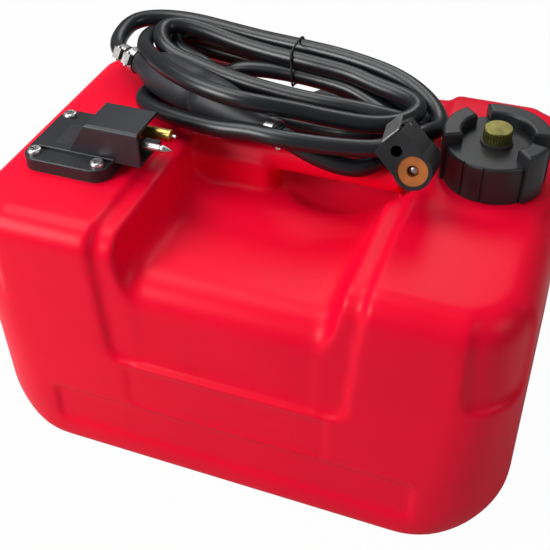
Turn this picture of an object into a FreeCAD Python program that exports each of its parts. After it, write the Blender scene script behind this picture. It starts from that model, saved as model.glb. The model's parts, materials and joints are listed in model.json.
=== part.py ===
import FreeCAD, Part
import math
import os

from FreeCAD import Matrix, Placement, Rotation, Vector

# Outboard fuel tank with its hose.  Millimetres, +Z up, +X along the tank, -Y the front.
# Positions are measured from under the middle of the hand recess, at floor level.
# export() then moves every piece so that the origin is under the middle of the tank.

# ---------------------------------------------------------------- tank shell
left_foot = 238.0             # from the recess's middle to each wall, at floor level
right_foot = 229.5
front_foot = 158.6
back_foot = 171.8
shoulder_height = 241.0
wall = 4.0
front_slope = 0.07            # each wall leans in by this much per mm of height
back_slope = 0.02
end_slope = 0.03
foot_corner_radius = 72.0     # seen from above, at the floor
top_corner_radius = 38.0      # and at the shoulders
foot_end_radius = 48.0        # the ends curve in under the tank much more than the front
foot_front_radius = 17.0
foot_steps = 9
shoulder_radius = 24.0

saddle_drop = 4.0             # the middle of the tank lies this far below the shoulders
saddle_inset = 5.0            # and this far behind their front faces
saddle_top_half = 114.0
saddle_bottom_half = 101.0
saddle_corner = 16.0
ledge_height = 121.0          # the saddle ends here in a shelf

recess_depth = 40.0           # the hand recess under the shoulder level
recess_half = 84.0
recess_wall_lean = 0.2
recess_corner = 16.0
recess_front_radius = 30.0
recess_inset = 1.2            # the recess goes on down the front as a shallow channel

corner_inset = 4.0            # the upper corners are set back from the walls between them
corner_low = 160.0
corner_width_low = 43.0       # from the end wall at floor level, at the cut's foot
corner_width_high = 50.0
corner_depth = 58.0
corner_foot_round = 12.0

plaque_half = 89.0            # shallow panels pressed into the front and back
plaque_low = 73.0
plaque_high = 117.0
plaque_depth = 1.5
band_half = 162.0
band_low = 31.0
band_high = 72.0
band_depth = 3.0
panel_corner = 7.0

handle_y = 28.0
handle_width = 26.0
handle_thickness = 24.0
handle_round = 9.0
handle_gap_left = -15.0       # the hand gap runs from here to the right recess wall
handle_root_depth = 40.0
scoop_radius = 46.0
scoop_depth = 12.0
scoop_margin = 3.0            # from the scoop's rim to the recess wall

# --------------------------------------------------------------- filler, cap
cap_x = 163.0
cap_y = 31.0
collar_height = 3.0
collar_base_radius = 55.0
collar_top_radius = 44.0
neck_radius = 29.0
neck_bore = 24.0
neck_height = 24.0
thread_pitch = 8.0
thread_turns = 1.75
thread_tip = 1.4
thread_root_width = 3.0
thread_tip_width = 1.4
thread_clearance = 0.6
thread_bite = 0.5             # how far a thread's root is sunk into what carries it
gasket_thickness = 3.0
cap_radius = 38.5
cap_lug_reach = 3.0
cap_lug_height = 10.0
cap_lug_inner = 27.0
cap_plate = 8.0
cap_skirt_gap = 0.6
cap_edge_round = 2.5
cap_lug_spans = ((8.0, 111.0), (135.0, 205.0), (-47.0, -14.0))
cap_tab_angles = (-118.0, -93.0)
cap_tab_groove = 1.2

vent_knob_radius = 11.0
vent_knob_height = 10.5
vent_stem_radius = 4.0
vent_fit = 0.05
vent_washer_radius = 12.6
vent_washer_height = 2.5
vent_notches = 30
vent_notch_radius = 0.6
vent_stem_reach = 6.0
vent_knob_chamfer = 0.8
cap_nut_turns = 1.0

# ------------------------------------------------- outlet flange and gauge
flange_x = -164.0
flange_y = -38.0
flange_size = 78.0
flange_corner = 14.0
flange_thickness = 10.0
flange_gasket = 1.5
flange_opening = 29.0
flange_pad = 8.0
flange_pad_margin = 2.0
flange_edge_round = 1.2
boss_edge_round = 1.0
screw_spacing = 58.0
screw_radius = 3.0
screw_head_radius = 6.0
screw_head_height = 3.8
screw_clearance = 0.3
screw_fit = 0.05
screw_head_round = 2.2
screw_slot_reach = 3.7        # of the cross in the head, from its middle
screw_slot_half = 0.7
screw_slot_depth = 1.8
screw_end_gap = 1.0           # from the screw's end to the bottom of its nut
insert_radius = 4.5
insert_depth = 9.0

boss_height = 3.0
boss_left = -193.0
boss_right = -124.0
boss_front = -60.5
boss_back = -15.5

shroud_base_left = -166.0
shroud_top_left = -146.0
shroud_right = -100.0
shroud_front = -60.0
shroud_back = -21.0
shroud_top = shoulder_height + 42.0
shroud_mouth = 14.0
shroud_wall = 2.6
shroud_round = 3.0

window_x = -176.0
window_y = -38.0
window_width = 12.0
window_length = 30.0
lens_thickness = 2.0
lens_ledge = 1.5

drum_radius = 9.0
drum_length = 26.0
drum_gap = 1.0
drum_wall = 2.0
drum_end = 3.0
axle_radius = 1.5
hub_radius = 3.3
axle_fit = 0.06
crank_radius = 7.0
crank_thickness = 2.0
crank_pin_radius = 1.2
crank_eye_radius = 2.4
crank_web_width = 3.6
link_width = 5.0
link_thickness = 1.6
link_play = 0.5
frame_thickness = 2.0
frame_width = 12.0
frame_gap = 0.6
float_pivot_drop = 56.0       # from the drum's axle down to the float arm's pin
float_arm_length = 140.0
float_wire_radius = 1.0
float_rest_angle = 72.0       # below the horizontal, with the tank empty
float_radius = 13.0
float_length = 32.0
float_edge_round = 0.8
float_front_gap = 1.0         # from the arm's plane to the float's front end
mechanism_room = 12.0         # half the width of the space under the flange's boss

pickup_x = -147.0
pickup_y = -31.0
pickup_radius = 5.0
pickup_bore = 3.4
pickup_clearance = 10.0       # from the strainer to the tank's floor
strainer_radius = 8.5
strainer_length = 30.0
strainer_cap = 3.0
strainer_wall = 1.5

nipple_y = -31.0
nipple_z = shoulder_height + 27.0
pin_spacing = 19.0            # guide pin to nipple, and the same in the connectors
nipple_radius = 5.0
nipple_bore = 2.7
nipple_reach = 15.5           # beyond the shroud's mouth
nipple_flange_radius = 6.4
nipple_flange_length = 3.0
nipple_root = 12.0
nipple_edge_round = 0.8
nipple_end_wall = 2.0         # the plunger's stem runs in it
valve_stem_radius = 1.5
valve_stem_fit = 0.06
valve_stem_out = 4.0
valve_tip_round = 0.7
valve_head_length = 4.0
valve_head_fit = 0.05
valve_travel = 3.0
guide_pin_radius = 3.0
guide_pin_point = 7.0
guide_pin_groove = 0.8
guide_pin_reach = 24.3
guide_pin_root = 12.0
guide_pin_tip = 0.4
guide_groove_width = 1.6
guide_groove_back = 3.0       # from the point's base back to the groove

# ------------------------------------------------------------------ the hose
hose_radius = 7.5
hose_bore = 4.75
barb_radius = 5.2
barb_length = 18.0

connector_radius = 14.5
connector_half_width = 13.5
connector_top = 29.0
connector_length = 38.0
connector_edge_round = 1.5
seal_radius = 11.5
seal_bore = 4.6
seal_depth = 5.5
seal_setback = 0.8
ball_radius = 5.0
ball_fit = 0.08
ball_chamber = 24.0
ball_travel = 5.0
ball_seat_gap = 0.15
fuel_bore = 3.0
guide_hole_radius = 4.4
guide_hole_depth = 26.0
latch_half_width = 8.0
latch_thickness = 1.6
latch_front = 13.0
latch_back = 36.0
latch_sink = 2.2              # the latch's pin below the connector's top
latch_rise = 2.7              # the plate's underside above its pin
latch_pin_x = 24.0
latch_pin_radius = 1.5
latch_pin_fit = 0.06
latch_barrel_radius = 2.4
latch_knuckle_width = 3.0
latch_hook_width = 8.0
latch_ear_thickness = 2.4
latch_ear_gap = 0.4
latch_ear_half = 4.0
latch_ear_over = 4.0          # above the latch's pin
latch_hook_gap = 0.4
latch_hook_room = 3.6
latch_slot_open = 1.0         # how far the hook's slot cuts into the guide hole
latch_pocket_depth = 4.8
latch_pocket_start = 20.0
spring_wire = 0.65            # wire radius
latch_spring_wire = 0.45
spring_turns = 4
latch_spring_turns = 8
ball_spring_turns = 3
ball_spring_inset = 1.2       # the ball's spring is wound this much smaller than the ball
spring_room = 0.2             # from the outlet spring to the bore round it

engine_connector_at = (113.5, -38.0, 282.7)
engine_connector_axis = (-0.01, 0.955, -0.296)
engine_connector_guide = (-0.728, 0.3, 0.616)
tank_connector_at = (-8.4, 149.0, 215.9)
tank_connector_axis = (0.8, -0.6, 0.0)
tank_connector_guide = (-0.6, -0.8, 0.0)

bulb_left_end = (-176.3, 77.5, 267.0)      # its outlet; fuel comes in at the right end
bulb_right_end = (-8.1, 10.4, 259.2)
bulb_radius = 20.5
bulb_neck_radius = 10.5
bulb_neck_length = 16.0
bulb_left_taper = 30.0
bulb_right_taper = 46.0
bulb_rounds = (14.0, 26.0, 40.0, 20.0)     # along its outline, from left to right
bulb_wall = 4.0
fitting_spigot = 14.0
fitting_radius = 6.5
fitting_flange_radius = 9.0
fitting_flange_length = 3.0
valve_disc_radius = 4.2
valve_disc_thickness = 2.0
valve_disc_travel = 2.5
valve_chamber_fit = 0.08
valve_seat_gap = 0.02
chamber_length = 9.0
fitting_lip = 2.0              # closes each valve chamber toward the bulb's inside
clamp_width = 8.0
clamp_thickness = 1.0
clamp_block = 5.0
clamp_block_height = 4.5
clamp_screw_radius = 1.8
clamp_screw_lift = 2.7        # its axis above the band's bore
clamp_screw_over = 1.5        # beyond each side of the block
clamp_fit = 0.1
clamp_from_end = 5.5          # a hose clamp's middle, from the end of its hose
neck_clamp_from_end = 7.0
left_clamp_turn = 60.0
right_clamp_turn = 75.0
connector_clamp_turn = 0.0

coil_outline = (
    (-176.0, 112.0), (-164.0, 140.0), (-133.0, 161.0), (-92.0, 170.0), (-38.0, 162.0),
    (14.0, 154.0), (67.0, 132.0), (108.0, 100.0), (121.0, 68.0), (111.0, 36.0),
    (88.0, 6.0), (41.0, -11.0), (-8.0, -8.5), (-83.0, 4.0), (-129.0, 21.0),
    (-161.0, 45.0), (-175.0, 78.0),
)
coil_hole = (-12.0, 84.0)
coil_hole_half = (90.0, 23.0)
coil_hole_turn = -14.0
coil_low = 241.4
coil_high = 280.0             # the pile's top over coil_high_at
coil_high_at = (11.0, 30.0)
coil_fall_x = 0.059           # how much lower the top is per mm to the right
coil_fall_y = 0.06            # and per mm to the back
coil_round = 7.0
coil_clear = 0.3
tie_width = 3.6
tie_thickness = 1.3
tie_clear = 0.5
tie_turn = -18.0              # the tie crosses the pile's back run at this slant

bulb_lead_points = (
    (-207.0, 111.0, 267.4),
    (-205.0, 139.5, 266.8),
    (-187.0, 163.0, 266.6),
    (-158.0, 175.0, 266.5),
    (-124.0, 174.0, 266.0),
    (-92.0, 163.0, 266.0),
)
engine_lead_points = (
    (107.0, 41.0, 258.5),
    (93.0, 64.0, 264.5),
)
tank_lead_points = (
    (53.9, 0.3, 252.0),
    (78.0, 14.5, 249.4),
    (92.0, 38.6, 249.4),
    (91.0, 67.0, 246.0),
    (73.0, 91.0, 233.0),
)
bulb_lead_start = 18.5        # each lead leaves its fitting straight, for this far
engine_lead_start = 18.0
tank_lead_start = 29.5
tank_lead_end = 30.0
run_share = 0.45              # of the shorter run beside a bend, taken up by the bend

# ------------------------------------------------------------ derived values
to_middle = Vector((left_foot - right_foot) / 2, (front_foot - back_foot) / 2, 0)
half_length = (left_foot + right_foot) / 2
half_depth = (front_foot + back_foot) / 2
recess_floor = shoulder_height - recess_depth
saddle_top = shoulder_height - saddle_drop
beyond = 60.0                 # how far cutting tools run past the surfaces they cut
flange_base = shoulder_height + flange_gasket
flange_top = flange_base + flange_thickness
boss_top = flange_top + boss_height
drum_z = boss_top - lens_thickness - drum_gap - drum_radius
float_pivot_z = drum_z - float_pivot_drop
mouth_x = shroud_right - shroud_mouth
guide_pin_y = nipple_y - pin_spacing
cap_top = shoulder_height + neck_height + gasket_thickness + cap_plate
cap_inner_radius = neck_radius + thread_tip + thread_clearance
drum_front = window_y - drum_length / 2
drum_back = window_y + drum_length / 2
frame_front_y = drum_front - frame_gap - frame_thickness
frame_back_y = drum_back + frame_gap
frame_top = boss_top - lens_thickness - drum_gap
crank_y = frame_back_y + frame_thickness + frame_gap
link_y = crank_y + crank_thickness + frame_gap
arm_y = crank_y + crank_thickness / 2
crank_rest_angle = -float_rest_angle / 2
UP = Vector(0, 0, 1)
ALONG = Vector(1, 0, 0)
BACK = Vector(0, 1, 0)


# ------------------------------------------------------------------- helpers
def rod(radius, length, base, axis=UP):
    return Part.makeCylinder(radius, length, Vector(*base), axis)


def ring(outer, inner, length, base, axis=UP):
    return rod(outer, length, base, axis).cut(rod(inner, length, base, axis))


def box(low, high):
    size = [b - a for a, b in zip(low, high)]
    return Part.makeBox(size[0], size[1], size[2], Vector(*low))


def joined(shapes):
    return shapes[0].fuse(list(shapes[1:])).removeSplitter()


def filleted(shape, radius, wanted):
    """Rounds the edges whose middle point passes the test."""
    edges = [edge for edge in shape.Edges if wanted(middle(edge))]
    return shape.makeFillet(radius, edges)


def middle(edge):
    return edge.valueAt((edge.FirstParameter + edge.LastParameter) / 2)


def corner_arc(before, corner, after, radius):
    """The arc that rounds one corner: its start, its middle and its end."""
    back = (before - corner).normalize()
    ahead = (after - corner).normalize()
    half_turn = (math.pi - back.getAngle(ahead)) / 2
    reach = radius * math.tan(half_turn)
    bisector = (back + ahead).normalize()
    to_middle = radius / math.cos(half_turn) - radius
    return corner + back * reach, corner + bisector * to_middle, corner + ahead * reach


def rounded_wire(points, radii, closed=True):
    """Straight runs joined by tangent arcs; a radius of 0 keeps a sharp corner."""
    points = [Vector(*point) for point in points]
    edges = []
    count = len(points)
    first = None
    last = None if closed else points[0]
    for index in range(count):
        at_end = index in (0, count - 1)
        if (at_end and not closed) or radii[index] == 0:
            start = stop = points[index]
            arc = None
        else:
            start, mid, stop = corner_arc(
                points[index - 1], points[index], points[(index + 1) % count], radii[index])
            arc = Part.Arc(start, mid, stop).toShape()
        if last is not None and (start - last).Length > 1e-6:
            edges.append(Part.LineSegment(last, start).toShape())
        if arc is not None:
            edges.append(arc)
        if first is None:
            first = start
        last = stop
    if closed:
        edges.append(Part.LineSegment(last, first).toShape())
    return Part.Wire(edges)


def front_prism(points, radii, reach):
    """A prism along Y through the whole tank, from its outline seen from the front."""
    outline = [(x, -reach, z) for x, z in points]
    face = Part.Face(rounded_wire(outline, radii))
    return face.extrude(Vector(0, 2 * reach, 0))


def export(name, shape):
    if shape.ShapeType == "Compound" and len(shape.Solids) == 1:
        shape = shape.Solids[0]
    placed_shape = shape.copy()
    placed_shape.translate(to_middle)
    placed_shape.exportStep("parts/" + name + ".step")
    print(name, len(shape.Solids), "solids", round(shape.Volume), "mm3", shape.isValid())
    return shape


# ---------------------------------------------------------------- tank shell
def side_x(side, height):
    """The left (-1) or right (+1) wall's place at this height."""
    foot = left_foot if side < 0 else right_foot
    return side * (foot - end_slope * height)


def side_y(side, height):
    """The front (-1) or back (+1) wall's place at this height."""
    if side < 0:
        return -(front_foot - front_slope * height)
    return back_foot - back_slope * height


def plan_outline(height, inset_x, inset_y, radius):
    """A rounded rectangle inside the four walls, at one height."""
    left = side_x(-1, height) + inset_x
    right = side_x(1, height) - inset_x
    front = side_y(-1, height) + inset_y
    back = side_y(1, height) - inset_y
    corners = [(left, front, height), (right, front, height),
               (right, back, height), (left, back, height)]
    return rounded_wire(corners, [radius] * 4)


def tuck(radius, rise):
    """How far a rounded foot lies inside its wall, this far above its underside."""
    if rise >= radius:
        return 0.0
    return radius - math.sqrt(radius ** 2 - (radius - rise) ** 2)


def block_section(height, inset_x, inset_y, shrink):
    rise = height - shrink
    tuck_x = tuck(foot_end_radius - shrink, rise)
    tuck_y = tuck(foot_front_radius - shrink, rise)
    share = height / shoulder_height
    corner = foot_corner_radius + (top_corner_radius - foot_corner_radius) * share
    corner -= shrink + (tuck_x + tuck_y) / 2
    return plan_outline(height, inset_x + shrink + tuck_x, inset_y + shrink + tuck_y, corner)


def leaning_block(top, inset_x, inset_y, shrink):
    """The tank's plain bulk, set in by some amount: sides that lean in, all edges round."""
    sections = []
    for step in range(foot_steps + 1):
        angle = math.pi / 2 * step / foot_steps
        rise = (foot_end_radius - shrink) * (1 - math.cos(angle))
        sections.append(block_section(shrink + rise, inset_x, inset_y, shrink))
    sections.append(block_section(top - shrink, inset_x, inset_y, shrink))
    bulk = Part.makeLoft(sections, True, True)
    return filleted(bulk, shoulder_radius - shrink, lambda p: abs(p.z - top + shrink) < 0.01)


def saddle_cut(shrink):
    low = ledge_height - shrink
    high = shoulder_height + beyond
    outline = [(-saddle_bottom_half - shrink, low), (saddle_bottom_half + shrink, low),
               (saddle_top_half + shrink, high), (-saddle_top_half - shrink, high)]
    radii = [saddle_corner + shrink, saddle_corner + shrink, 0, 0]
    prism = front_prism(outline, radii, half_depth + beyond)
    return prism.cut(leaning_block(saddle_top, 0, saddle_inset, shrink))


def corner_cuts(shrink):
    """The four upright corners' set-backs, ending in a small step at their foot."""
    low = corner_low - shrink
    high = shoulder_height + beyond
    far = half_length + beyond
    block = leaning_block(shoulder_height, corner_inset, corner_inset, shrink)
    cutters = []
    for side in (-1, 1):
        foot_x = abs(side_x(side, 0)) - corner_width_low - shrink
        top_x = abs(side_x(side, 0)) - corner_width_high - shrink
        outline = [(side * foot_x, low), (side * far, low), (side * far, high),
                   (side * top_x, high)]
        prism = front_prism(outline, [corner_foot_round + shrink, 0, 0, 0], half_depth + beyond)
        front = side_y(-1, 0) + corner_depth + shrink
        back = side_y(1, 0) - corner_depth - shrink
        between = box((-2 * far, front, low - 1), (2 * far, back, high + 1))
        cutters.append(prism.cut(between).cut(block))
    return cutters


def panel_cut(half, low, high, depth, shrink):
    outline = [(-half - shrink, low - shrink), (half + shrink, low - shrink),
               (half + shrink, high + shrink), (-half - shrink, high + shrink)]
    prism = front_prism(outline, [panel_corner + shrink] * 4, half_depth + beyond)
    return prism.cut(leaning_block(shoulder_height, 0, depth, shrink))


def recess_section(shrink, y, base_z):
    """The hand recess seen from the front, as a face."""
    high = base_z + recess_depth + beyond
    bottom = recess_half + shrink
    top = bottom + recess_wall_lean * (high - base_z)
    outline = [(-bottom, y, base_z), (bottom, y, base_z), (top, y, high), (-top, y, high)]
    corner = recess_corner + shrink
    return Part.Face(rounded_wire(outline, [corner, corner, 0, 0]))


def recess_bend(side):
    """Where the recess floor starts to curve down: its place, height and wall lean."""
    lean = math.atan(front_slope if side < 0 else back_slope)
    bend_z = recess_floor - recess_front_radius
    face_y = abs(side_y(side, bend_z)) - saddle_inset - recess_inset
    return side * (face_y - recess_front_radius / math.cos(lean)), bend_z, lean


def recess_cut(shrink):
    """Straight across the top, round the front and back edges, then down both faces."""
    front_y = recess_bend(-1)[0]
    back_y = recess_bend(1)[0]
    middle_face = recess_section(shrink, front_y, recess_floor - shrink)
    pieces = [middle_face.extrude(Vector(0, back_y - front_y, 0))]
    for side in (-1, 1):
        bend_y, bend_z, lean = recess_bend(side)
        turn = -side * (90 - math.degrees(lean))
        section = recess_section(shrink, bend_y, recess_floor - shrink)
        axis_at = Vector(0, bend_y, bend_z)
        pieces.append(section.revolve(axis_at, ALONG, turn))
        ending = section.copy()
        ending.rotate(axis_at, ALONG, turn)
        run = (bend_z - ledge_height + shrink) / math.cos(lean)
        down = Vector(0, side * math.sin(lean), -math.cos(lean))
        pieces.append(ending.extrude(down * run))
    return pieces


def tank_form(shrink):
    """The tank's outer form, or its cavity when it is shrunk by the wall."""
    form = leaning_block(shoulder_height, 0, 0, shrink)
    form = form.cut(saddle_cut(shrink))
    for cutter in corner_cuts(shrink) + recess_cut(shrink):
        form = form.cut(cutter)
    form = form.cut(panel_cut(plaque_half, plaque_low, plaque_high, plaque_depth, shrink))
    form = form.cut(panel_cut(band_half, band_low, band_high, band_depth, shrink))
    return max(form.Solids, key=lambda solid: solid.Volume)


def scoop_cut(shrink):
    """A shallow round dish in the recess floor, so that fingers pass under the handle."""
    sphere_radius = (scoop_radius ** 2 + scoop_depth ** 2) / (2 * scoop_depth)
    centre_x = recess_half - scoop_radius - scoop_margin
    centre_y = handle_y + handle_width / 2
    centre_z = recess_floor - scoop_depth + sphere_radius
    return Part.makeSphere(sphere_radius + shrink, Vector(centre_x, centre_y, centre_z))


def handle_bar():
    """A moulded bar across the recess, thick at its left root."""
    reach = recess_half + recess_wall_lean * recess_depth + wall / 2
    low_y = handle_y - handle_width / 2
    bar = box((-reach, low_y, shoulder_height - handle_thickness),
              (reach, low_y + handle_width, shoulder_height))
    bar = filleted(bar, handle_round, lambda p: abs(p.x) < 0.01)
    root_y = handle_y - handle_root_depth / 2
    root = box((-recess_half - wall / 2, root_y, recess_floor - wall / 2),
               (handle_gap_left, root_y + handle_root_depth, shoulder_height - handle_round))
    root = filleted(root, handle_round, lambda p: abs(p.z - shoulder_height + handle_round) < 0.01
                    or (abs(p.x - handle_gap_left) < 0.01 and abs(p.y - handle_y) > 1))
    return bar.fuse(root)


def thread_ridge(core, tip, start_z, centre, turns):
    """One trapezoid ridge wound along a helix; a tip inside the core makes a nut's thread."""
    helix = Part.makeHelix(thread_pitch, thread_pitch * turns, core)
    sunk = core - math.copysign(thread_bite, tip - core)
    corners = [(sunk, 0, -thread_root_width / 2), (tip, 0, -thread_tip_width / 2),
               (tip, 0, thread_tip_width / 2), (sunk, 0, thread_root_width / 2)]
    profile = rounded_wire(corners, [0] * 4)
    ridge = Part.Wire(helix.Edges).makePipeShell([profile], True, True)
    ridge.translate(Vector(centre[0], centre[1], start_z))
    return ridge


def filler_neck():
    base = (cap_x, cap_y, shoulder_height - wall)
    neck = rod(neck_radius, neck_height + wall, base)
    collar = Part.makeCone(collar_base_radius, collar_top_radius, collar_height,
                           Vector(cap_x, cap_y, shoulder_height))
    footing = rod(collar_base_radius, wall / 2, (cap_x, cap_y, shoulder_height - wall / 2))
    start = shoulder_height + neck_height - thread_root_width - thread_pitch * thread_turns
    ridge = thread_ridge(neck_radius, neck_radius + thread_tip, start, (cap_x, cap_y),
                         thread_turns)
    return [neck, collar, footing, ridge]


def screw_places():
    half = screw_spacing / 2
    return [(flange_x + sx * half, flange_y + sy * half)
            for sx, sy in ((-1, -1), (1, -1), (1, 1), (-1, 1))]


def tank_body():
    cavity = tank_form(wall).cut(scoop_cut(wall))
    pad_half = flange_size / 2 + flange_pad_margin
    pad_low = shoulder_height - wall - flange_pad
    pad = box((flange_x - pad_half, flange_y - pad_half, pad_low),
              (flange_x + pad_half, flange_y + pad_half, shoulder_height))
    cavity = cavity.cut(pad)
    body = tank_form(0).cut(scoop_cut(0))
    body = body.fuse(filler_neck() + [handle_bar()])
    body = body.cut(cavity)
    body = body.cut(rod(neck_bore, neck_height + 3 * wall,
                        (cap_x, cap_y, shoulder_height - 2 * wall)))
    body = body.cut(rod(flange_opening, flange_pad + 3 * wall,
                        (flange_x, flange_y, pad_low - wall)))
    for x, y in screw_places():
        body = body.cut(rod(insert_radius, insert_depth, (x, y, shoulder_height - insert_depth)))
    return max(body.Solids, key=lambda solid: solid.Volume)


def insert_nuts():
    bore = screw_radius + screw_fit
    return Part.makeCompound([
        ring(insert_radius, bore, insert_depth, (x, y, shoulder_height - insert_depth))
        for x, y in screw_places()])


# ----------------------------------------------------------------- filler cap
def cap_gasket():
    base = (cap_x, cap_y, shoulder_height + neck_height)
    return ring(neck_radius, neck_bore, gasket_thickness, base)


def sector(outer, inner, low, high, start, stop):
    """Part of a ring round the cap's axis, between two angles in degrees."""
    piece = Part.makeCylinder(outer, high - low, Vector(cap_x, cap_y, low), UP, stop - start)
    piece.rotate(Vector(cap_x, cap_y, 0), UP, start)
    return piece.cut(rod(inner, high - low, (cap_x, cap_y, low)))


def cap_shell():
    low = shoulder_height + collar_height + cap_skirt_gap
    body = rod(cap_radius, cap_top - low, (cap_x, cap_y, low))
    body = filleted(body, cap_edge_round, lambda p: abs(p.z - cap_top) < 0.01)
    for start, stop in cap_lug_spans:
        lug = sector(cap_radius + cap_lug_reach, cap_lug_inner, low, cap_top + cap_lug_height,
                     start, stop)
        lug = filleted(lug, cap_edge_round,
                       lambda p: abs(p.z - cap_top - cap_lug_height) < 0.01)
        body = body.fuse(lug)
    under = shoulder_height + neck_height + gasket_thickness
    body = body.cut(rod(cap_inner_radius, under - low, (cap_x, cap_y, low)))
    body = body.cut(rod(vent_stem_radius + vent_fit, cap_plate, (cap_x, cap_y, under)))
    for angle in cap_tab_angles:
        spot = (cap_x + cap_radius * math.cos(math.radians(angle)),
                cap_y + cap_radius * math.sin(math.radians(angle)), low)
        body = body.cut(rod(cap_tab_groove, cap_top - low, spot))
    tip = neck_radius + thread_clearance
    start = (shoulder_height + neck_height - thread_root_width - thread_pitch * thread_turns
             + thread_pitch / 2)
    ridge = thread_ridge(cap_inner_radius, tip, start, (cap_x, cap_y), cap_nut_turns)
    return body.fuse(ridge)


def vent_washer():
    return ring(vent_washer_radius, vent_stem_radius + vent_fit, vent_washer_height,
                (cap_x, cap_y, cap_top))


def vent_knob():
    base = cap_top + vent_washer_height
    knob = rod(vent_knob_radius, vent_knob_height, (cap_x, cap_y, base))
    knob = knob.makeChamfer(vent_knob_chamfer, [e for e in knob.Edges if middle(e).z > base + 1
                                  and len(e.Vertexes) == 1])
    notches = []
    for index in range(vent_notches):
        angle = 2 * math.pi * index / vent_notches
        spot = (cap_x + vent_knob_radius * math.cos(angle),
                cap_y + vent_knob_radius * math.sin(angle), base)
        notches.append(rod(vent_notch_radius, vent_knob_height, spot))
    knob = knob.cut(notches)
    stem_low = cap_top - cap_plate - vent_stem_reach
    stem = rod(vent_stem_radius, base - stem_low, (cap_x, cap_y, stem_low))
    return knob.fuse(stem)


# ------------------------------------------------------------- outlet flange
def plate(x, y, size, corner, low, thickness):
    half = size / 2
    corners = [(x - half, y - half, low), (x + half, y - half, low),
               (x + half, y + half, low), (x - half, y + half, low)]
    return Part.Face(rounded_wire(corners, [corner] * 4)).extrude(UP * thickness)


def flange_gasket_ring():
    pad = plate(flange_x, flange_y, flange_size, flange_corner, shoulder_height, flange_gasket)
    pad = pad.cut(rod(flange_opening, flange_gasket, (flange_x, flange_y, shoulder_height)))
    for x, y in screw_places():
        pad = pad.cut(rod(screw_radius + screw_clearance, flange_gasket, (x, y, shoulder_height)))
    return pad


def shroud():
    """The housing round the nipple and pin: solid behind, hollow at its mouth."""
    outline = [(shroud_base_left, shroud_front, flange_top),
               (shroud_right, shroud_front, flange_top),
               (shroud_right, shroud_front, shroud_top),
               (shroud_top_left, shroud_front, shroud_top)]
    body = Part.Face(rounded_wire(outline, [0] * 4)).extrude(
        Vector(0, shroud_back - shroud_front, 0))
    body = filleted(body, shroud_round, lambda p: p.z > shroud_top - 0.01
                    and abs(p.x - shroud_right) > 0.01)
    hollow = box((mouth_x, shroud_front + shroud_wall, flange_top + shroud_wall),
                 (shroud_right + beyond, shroud_back + beyond, shroud_top - shroud_wall))
    return body.cut(hollow)


def outlet_flange():
    body = plate(flange_x, flange_y, flange_size, flange_corner, flange_base, flange_thickness)
    body = filleted(body, flange_edge_round, lambda p: abs(p.z - flange_top) < 0.01)
    boss = box((boss_left, boss_front, flange_top - 1.0), (boss_right, boss_back, boss_top))
    boss = filleted(boss, boss_edge_round, lambda p: abs(p.z - boss_top) < 0.01)
    body = body.fuse([boss, shroud()])
    low = flange_base - 1.0
    well_x = window_width - 2 * lens_ledge
    well_y = window_length - 2 * lens_ledge
    body = body.cut(box((window_x - well_x / 2, window_y - well_y / 2, low),
                        (window_x + well_x / 2, window_y + well_y / 2, boss_top)))
    body = body.cut(box((window_x - mechanism_room, frame_front_y - frame_gap, low),
                        (window_x + mechanism_room, link_y + link_thickness + frame_gap,
                         boss_top - lens_thickness - drum_gap)))
    body = body.cut(box((window_x - window_width / 2, window_y - window_length / 2,
                         boss_top - lens_thickness),
                        (window_x + window_width / 2, window_y + window_length / 2, boss_top)))
    for x, y in screw_places():
        body = body.cut(rod(screw_radius + screw_clearance, flange_thickness, (x, y, flange_base)))
    body = body.cut(rod(pickup_radius, nipple_z - low, (pickup_x, pickup_y, low)))
    crossing = mouth_x - nipple_root - pickup_x
    body = body.cut(rod(pickup_bore, crossing, (pickup_x, pickup_y, nipple_z), ALONG))
    body = body.cut(rod(nipple_radius, nipple_root, (mouth_x - nipple_root, nipple_y, nipple_z),
                        ALONG))
    body = body.cut(rod(guide_pin_radius, guide_pin_root,
                        (mouth_x - guide_pin_root, guide_pin_y, nipple_z), ALONG))
    return max(body.Solids, key=lambda solid: solid.Volume)


def flange_screws():
    screws = []
    for x, y in screw_places():
        head = rod(screw_head_radius, screw_head_height, (x, y, flange_top))
        head = filleted(head, screw_head_round, lambda p: p.z > flange_top + 1)
        head_top = flange_top + screw_head_height
        for dx, dy in ((screw_slot_reach, screw_slot_half), (screw_slot_half, screw_slot_reach)):
            head = head.cut(box((x - dx, y - dy, head_top - screw_slot_depth),
                                (x + dx, y + dy, head_top)))
        shank_low = shoulder_height - insert_depth + screw_end_gap
        shank = rod(screw_radius, flange_top - shank_low, (x, y, shank_low))
        screws.append(head.fuse(shank))
    return Part.makeCompound(screws)


def gauge_lens():
    return box((window_x - window_width / 2, window_y - window_length / 2,
                boss_top - lens_thickness),
               (window_x + window_width / 2, window_y + window_length / 2, boss_top))


# --------------------------------------------------------- gauge and float
def gauge_frame():
    """Two ears for the drum; the back one runs down to the float arm's pin."""
    half = frame_width / 2
    tie_low = drum_z - drum_radius - 2 * frame_gap - frame_thickness
    front_ear = box((window_x - half, frame_front_y, tie_low),
                    (window_x + half, frame_front_y + frame_thickness, frame_top))
    back_ear = box((window_x - half, frame_back_y, float_pivot_z - half),
                   (window_x + half, frame_back_y + frame_thickness, frame_top))
    tie = box((window_x - half, frame_front_y, tie_low),
              (window_x + half, frame_back_y + frame_thickness, tie_low + frame_thickness))
    body = joined([front_ear, back_ear, tie])
    for y, radius, height in ((frame_front_y, axle_radius, drum_z),
                              (frame_back_y, hub_radius + axle_fit, drum_z),
                              (frame_back_y, axle_radius, float_pivot_z)):
        body = body.cut(rod(radius, frame_thickness, (window_x, y, height), BACK))
    return body


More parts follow.
